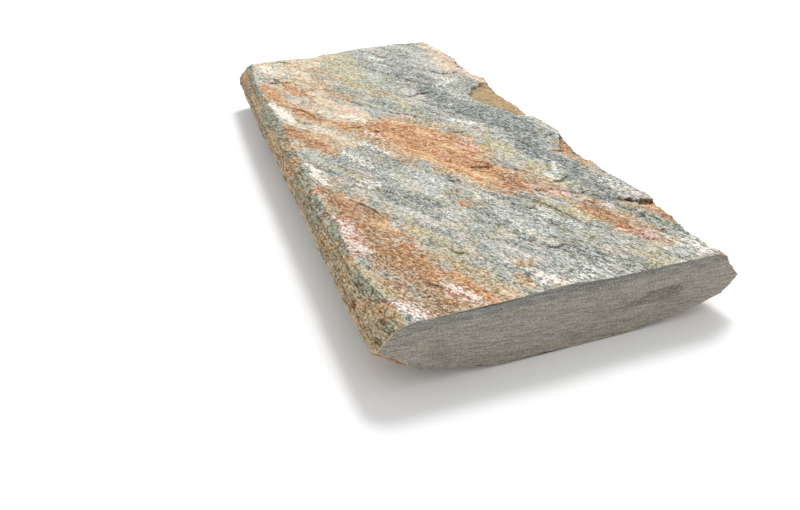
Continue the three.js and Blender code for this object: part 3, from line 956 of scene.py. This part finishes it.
rivenLook = {
    "stone": colour(152, 155, 147),
    "paleStone": colour(184, 187, 180),
    "rose": colour(212, 198, 190),
    "khaki": colour(188, 180, 148),
    "tan": colour(190, 162, 126),
    "cream": colour(218, 200, 174),
    "dusk": colour(124, 130, 126),
    "ochre": colour(194, 144, 88),
    "paleOchre": colour(208, 174, 130),
    "deepOchre": colour(176, 122, 72),
    "redOchre": colour(188, 130, 94),
    "rust": colour(158, 98, 72),
    "umber": colour(142, 112, 76),
    "ledge": colour(168, 138, 90),
    "pink": colour(214, 170, 160),
    "mica": colour(240, 236, 226),
    "paintedShadow": colour(46, 34, 26),
    "flakeEdgeShade": (0.34, 0.33, 0.32, 1),  # painted shade: what a flake's edge multiplies the colour by, for the shadow of its small step
    "flecks": {"Length": 0.0034, "Width": 0.0014, "Height": 0.005, "Contrast": 1.5},
    "flakeEdges": {
        "Length": 0.022, "Width": 0.0065, "Height": 0.02, "Shift": 2.2, "Thinness": 0.012, "Amount": 0.5},
    # Stains in the order they are laid: mask, colour, how far it breaks up, strength, and by which grain.
    # The ledge stays whole.
    "stains": [
        ("khaki", "khaki", 1.8, 0.85, "cloud"),
        ("dusk", "dusk", 2.0, 0.85, "streak"),
        ("tan", "tan", 2.0, 0.85, "cloud"),
        ("cream", "cream", 2.4, 0.9, "streak"),
        ("ochre", "variedOchre", 2.4, 0.92, "streak"),
        ("rust", "rust", 2.4, 0.75, "streak"),
        ("umber", "umber", 2.0, 0.5, "cloud"),
        ("ledge", "ledge", None, 0.92, None),
        ("pink", "pink", 3.4, 0.7, "flecks"),
        ("pale", "mica", 3.4, 0.7, "flecks"),
    ],
    # how the bare stone and the ochre vary: grain, its values from none to most, most, colour
    "stoneLayers": [
        ("wide", 0.4, 0.62, 1.0, "paleStone"), ("soft", 0.48, 0.66, 0.4, "khaki"),
        ("lane", 0.54, 0.68, 0.5, "rose")],
    "ochreLayers": [
        ("streak", 0.38, 0.52, 1.0, "ochre"), ("lane", 0.5, 0.64, 1.0, "paleOchre"),
        ("soft", 0.52, 0.64, 0.6, "redOchre")],
    "grains": {  # length, width, height, detail, roughness and shift
        "wide": (0.045, 0.013, 0.03, 3.0, 0.5, 3.1),
        "cloud": (0.019, 0.0085, 0.03, 2.0, 0.5, 23.9),
        "streak": (0.0105, 0.0042, 0.02, 3.0, 0.55, 11.7),
        "fine": (0.0012, 0.0007, 0.002, 2.0, 0.5, 5.9),
        "lane": (0.03, 0.0056, 0.03, 2.0, 0.5, 17.3),
        "soft": (0.013, 0.0075, 0.03, 1.0, 0.5, 31.3),
    },
    "specular": 0.4,
    "bumpStrength": 0.8,
    "bumpDistance": 0.0010,
}


def makeRivenSlate(grain, flecks, flakeEdges, stain, fleckedTint):
    look = rivenLook
    material, tree = newMaterial("rivenSlate")
    fleck = useGroup(tree, flecks, **look["flecks"])
    edges = useGroup(tree, flakeEdges, **look["flakeEdges"])
    grains = {name: grainValue(tree, grain, *size) for name, size in look["grains"].items()}
    grains["flecks"] = fleck["Relief"]
    fine = grains["fine"]
    tint = layOver(look["stone"], look, "stoneLayers", grains)
    tints = {**look, "variedOchre": layOver(look["deepOchre"], look, "ochreLayers", grains)}
    for name, above, breakUp, strength, broken in look["stains"]:
        mask = maskValue(tree, name)
        if broken:
            mask = useGroup(tree, stain, Amount=mask, Grain=grains[broken], Break=breakUp)[0]
        tint = blend(times(mask, strength), tint, tints[above])
    tint = scaled(tint, remap(grains["lane"], 0.34, 0.66, 0.88, 1.01))
    # the ledge has fewer flecks, and ochre is deepened less by them
    plain = minus(1.0, times(maskValue(tree, "ledge"), 0.7))
    specks = remap(fine, 0.5, 0.36, 0.0, 0.35)
    surface = useGroup(
        tree, fleckedTint, Tint=tint, Dark=times(plus(fleck["Dark"], specks), plain),
        Pale=times(fleck["Pale"], plain), Depth=timesPlus(maskValue(tree, "ochre"), -0.4, 1.0),
        Glint=0.24)[0]
    # painted shade along the flake edges, for the shadow of each small step
    flakeEdgeShade = blend(1.0, surface, look["flakeEdgeShade"], "MULTIPLY")
    surface = blend(times(edges["Line"], 0.75), surface, flakeEdgeShade)
    # painted shadow under the lips and in the undercut scars
    surface = blend(times(maskValue(tree, "paintedShadow"), 0.85), surface, look["paintedShadow"])
    surface = blend(maskValue(tree, "arris"), surface, blend(0.25, surface, look["mica"]))
    relief = timesPlus(fine, 0.35, fleck["Relief"])
    relief = timesPlus(edges["Step"], 0.5, relief)
    finishMaterial(tree, look, surface, relief, remap(fleck["Pale"], 0.0, 1.0, 0.82, 0.5))
    return material


brokenLook = {
    "bevel": colour(146, 145, 126),
    "brown": colour(186, 158, 120),
    "rust": colour(184, 136, 92),
    "olive": colour(166, 152, 124),
    "crack": colour(74, 60, 46),
    "pale": colour(232, 212, 176),
    "flecks": {"Length": 0.0032, "Width": 0.002, "Height": 0.0011, "Contrast": 1.6},
    # how the brown beds vary: grain, its values from none to most, most, colour
    "brownLayers": [("wide", 0.4, 0.6, 1.0, "brown"), ("spots", 0.52, 0.7, 0.6, "rust")],
    "grains": {  # length, width, height, detail, roughness and shift
        "wide": (0.04, 0.026, 0.012, 3.0, 0.5, 2.4),
        "spots": (0.010, 0.008, 0.006, 3.0, 0.6, 14.2),
        "bands": (0.012, 0.012, 0.0012, 3.0, 0.6, 8.8),
        "greyBeds": (0.05, 0.05, 0.0045, 2.0, 0.5, 19.6),
    },
    "roughness": 0.85,
    "specular": 0.3,
    "bumpStrength": 0.9,
    "bumpDistance": 0.0011,
}


def makeBrokenSlate(grain, flecks, fleckedTint):
    look = brokenLook
    material, tree = newMaterial("brokenSlate")
    fleck = useGroup(tree, flecks, **look["flecks"])
    grains = {name: grainValue(tree, grain, *size) for name, size in look["grains"].items()}
    wide, spots, bands = grains["wide"], grains["spots"], grains["bands"]
    place = addNode(tree, "TexCoord").outputs["Object"]
    x, y, z = addNode(tree, "SeparateXYZ", {0: place}).outputs
    depth = minus(slab["thickness"] * metre, z)
    # the grey bevel under the rim ends in a ragged line and narrows towards the front end
    ragged = timesPlus(minus(wide, 0.5), 0.02, depth)
    ragged = timesPlus(minus(spots, 0.5), 0.007, ragged)
    ragged = plus(ragged, remap(y, -0.1, -0.2, 0.0, 0.0026))
    brownMask = remap(ragged, 0.0026, 0.0044)
    brown = layOver(look["olive"], look, "brownLayers", grains)
    greyAmount = remap(y, -0.15, -0.185, 0.7, 0.0)  # none at the front, where it is all brown
    brown = blend(remap(grains["greyBeds"], 0.52, 0.64, 0.0, greyAmount), brown, look["bevel"])
    tint = blend(times(brownMask, 0.95), look["bevel"], brown)
    # painted shade: darker towards the foot of the flank, for less light reaching the lower beds
    tint = scaled(tint, remap(depth, 0.007, 0.014, 1.0, 0.8))
    darkness = plus(fleck["Dark"], remap(bands, 0.48, 0.34, 0.0, 0.8))
    surface = useGroup(
        tree, fleckedTint, Tint=tint, Dark=darkness, Pale=fleck["Pale"], Depth=0.9, Glint=0.16)[0]
    # a dark line here and there between the bevel and the brown beds
    border = times(brownMask, minus(1.0, brownMask))
    border = times(remap(border, 0.12, 0.25), remap(spots, 0.5, 0.56, 0.0, 0.8))
    surface = blend(border, surface, look["crack"])
    surface = blend(times(maskValue(tree, "rust"), 0.7), surface, rivenLook["rust"])
    # painted highlight along the flank's outermost edge
    edgeLight = times(maskValue(tree, "worn"), remap(spots, 0.4, 0.56, 0.1, 0.5))
    surface = blend(edgeLight, surface, look["pale"])
    surface = blend(times(maskValue(tree, "arris"), 0.4), surface, look["pale"])
    finishMaterial(tree, look, surface, timesPlus(bands, 0.8, fleck["Relief"]), look["roughness"])
    return material


sawnLook = {
    "stone": colour(152, 146, 133),
    "cool": colour(140, 138, 128),
    "rim": colour(118, 121, 117),
    "line": colour(108, 102, 92),
    "damp": colour(90, 83, 72),
    "pit": colour(52, 46, 40),
    "glint": colour(188, 184, 172),
    "dip": 5.0,  # degrees the laminae fall towards +X
    "laminae": {  # length, height, shift and detail
        "bands": (0.034, 0.0024, 0.0, 4.0),
        "scratches": (0.009, 0.0006, 4.2, 4.0),
        "blotches": (0.02, 0.009, 9.1, 2.0),
        "specks": (0.0008, 0.0007, 1.7, 2.0),
        "pits": (0.0042, 0.0030, 6.6, 1.0),
    },
    # scratches, specks and pits over the rest: lamina, its values from none to most, most, colour
    "layers": [
        ("bands", 0.52, 0.36, 0.5, "line"), ("scratches", 0.5, 0.36, 0.75, "line"),
        ("scratches", 0.5, 0.66, 0.45, "glint"), ("specks", 0.5, 0.34, 0.65, "line"),
        ("pits", 0.25, 0.2, 0.9, "pit"), ("specks", 0.5, 0.66, 0.55, "glint")],
    # the damp streak: its middle across the slab and under the top, half its size, and its rise
    "dampMiddle": (0.057, 0.0185),
    "dampSize": (0.024, 0.0042),
    "dampRise": 0.0032,
    "roughness": 0.7,
    "specular": 0.35,
    "bumpStrength": 0.35,
    "bumpDistance": 0.0004,
}


def makeSawnSlate():
    look = sawnLook
    material, tree = newMaterial("sawnSlate")
    place = addNode(tree, "TexCoord").outputs["Object"]
    x, y, z = addNode(tree, "SeparateXYZ", {0: place}).outputs
    depth = minus(slab["thickness"] * metre, z)
    angle = -math.radians(look["dip"])
    dipped = addNode(tree, "VectorRotate", {"Vector": place, "Angle": angle}, rotation_type="Y_AXIS")

    def laminae(length, height, shift, detail):
        stretched = addNode(tree, "Mapping", {
            "Vector": dipped.outputs[0], "Location": (shift, shift, shift),
            "Scale": (1 / length, 1 / length, 1 / height)})
        texture = addNode(tree, "TexNoise", {
            "Vector": stretched.outputs[0], "Scale": 1.0, "Detail": detail, "Roughness": 0.65})
        return texture.outputs["Fac"]

    textures = {name: laminae(*size) for name, size in look["laminae"].items()}
    tint = blend(remap(depth, 0.0075, 0.0035), look["stone"], look["rim"])
    tint = blend(remap(textures["blotches"], 0.45, 0.65, 0.0, 0.6), tint, look["cool"])
    # a damp streak towards the right of the front end, rising to the right
    (middle, below), (halfWidth, halfHeight) = look["dampMiddle"], look["dampSize"]
    side = mathNode("DIVIDE", minus(x, middle), halfWidth)
    level = mathNode("DIVIDE", minus(timesPlus(side, look["dampRise"], depth), below), halfHeight)
    spread = plus(times(side, side), times(level, level))
    uneven = timesPlus(minus(textures["bands"], 0.5), 2.6, spread)
    onFront = mathNode("LESS_THAN", y, 0.0)
    damp = times(remap(uneven, 1.2, 0.2, 0.0, 0.95), onFront)
    surface = layOver(blend(damp, tint, look["damp"]), look, "layers", textures)
    relief = timesPlus(textures["specks"], 0.7, textures["scratches"])
    finishMaterial(tree, look, surface, relief, look["roughness"])
    return material


studio = {
    "floorSize": 40.0,
    "floorColour": (0.93, 0.93, 0.93, 1),
    "floorRoughness": 0.9,
    "floorSpecular": 0.1,
    "skyStrength": 0.75,
    "keyPower": 20.0,
    "keySize": 0.9,
    "keyPlace": (0.75, 0.9, 1.55),
    "sunStrength": 0.8,
    "sunAngle": 12.0,
    "sunFrom": (0.55, 0.75, 1.25),
}


def addLight(name, kind, place, **settings):  # aimed at the middle of the floor
    light = bpy.data.objects.new(name, bpy.data.lights.new(name, kind))
    for setting, value in settings.items():
        setattr(light.data, setting, value)
    light.location = place
    light.rotation_euler = (-Vector(place)).to_track_quat("-Z", "Y").to_euler()
    bpy.context.scene.collection.objects.link(light)


def buildStudio():
    scene = bpy.context.scene
    bpy.ops.mesh.primitive_plane_add(size=studio["floorSize"], location=(0, 0, 0))
    floor = bpy.context.object
    floor.name = "studioFloor"
    paint = bpy.data.materials.new("floorPaint")
    paint.use_nodes = True
    shader = paint.node_tree.nodes["Principled BSDF"]
    shader.inputs["Base Color"].default_value = studio["floorColour"]
    shader.inputs["Roughness"].default_value = studio["floorRoughness"]
    shader.inputs["Specular IOR Level"].default_value = studio["floorSpecular"]
    floor.data.materials.append(paint)

    world = bpy.data.worlds.new("studioWorld")
    scene.world = world
    world.use_nodes = True
    background = world.node_tree.nodes["Background"]
    background.inputs["Color"].default_value = (1, 1, 1, 1)
    background.inputs["Strength"].default_value = studio["skyStrength"]

    addLight("keyLight", "AREA", studio["keyPlace"], energy=studio["keyPower"], size=studio["keySize"])
    angle = math.radians(studio["sunAngle"])
    addLight("sunLight", "SUN", studio["sunFrom"], energy=studio["sunStrength"], angle=angle)
    scene.view_settings.view_transform = "Standard"


def placeCamera():
    scene = bpy.context.scene
    camera = bpy.data.objects.new("photoCamera", bpy.data.cameras.new("photoCamera"))
    camera.data.lens = photoCamera["lens"]
    camera.data.sensor_width = photoCamera["sensor"]
    camera.data.clip_start = 0.01
    turn = Matrix.Rotation(-math.radians(photoCamera["turnedRight"]), 4, "Z")
    tilt = Matrix.Rotation(math.radians(90 - photoCamera["pitchedDown"]), 4, "X")
    roll = Matrix.Rotation(math.radians(photoCamera["roll"]), 4, "Z")
    camera.matrix_world = Matrix.Translation(photoCamera["place"]) @ turn @ tilt @ roll
    scene.collection.objects.link(camera)
    scene.camera = camera


placeCamera()
buildStudio()
print("studio and camera are in place")

stoneMesh = thinMesh(buildSlab())
print("slab has", len(stoneMesh.vertices), "points")

grainGroup = makeGrainGroup()
fleckGroup = makeFleckGroup(grainGroup)
flakeEdgeGroup = makeFlakeEdgeGroup(grainGroup)
stainGroup = makeStainGroup()
tintGroup = makeFleckedTintGroup()
for material in (
        makeRivenSlate(grainGroup, fleckGroup, flakeEdgeGroup, stainGroup, tintGroup),
        makeBrokenSlate(grainGroup, fleckGroup, tintGroup),
        makeSawnSlate()):
    stoneMesh.materials.append(material)
print("materials are made")

writeMasks(stoneMesh)
stoneMesh.shade_smooth()
sortFaces(stoneMesh)
stoneMesh.set_sharp_from_angle(angle=math.radians(slab["sharpAngle"]))
stoneMesh.name = "slateSlab"
stone = bpy.data.objects.new("slateSlab", stoneMesh)
bpy.context.scene.collection.objects.link(stone)

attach(stone, "root")
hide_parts("slate_slab")
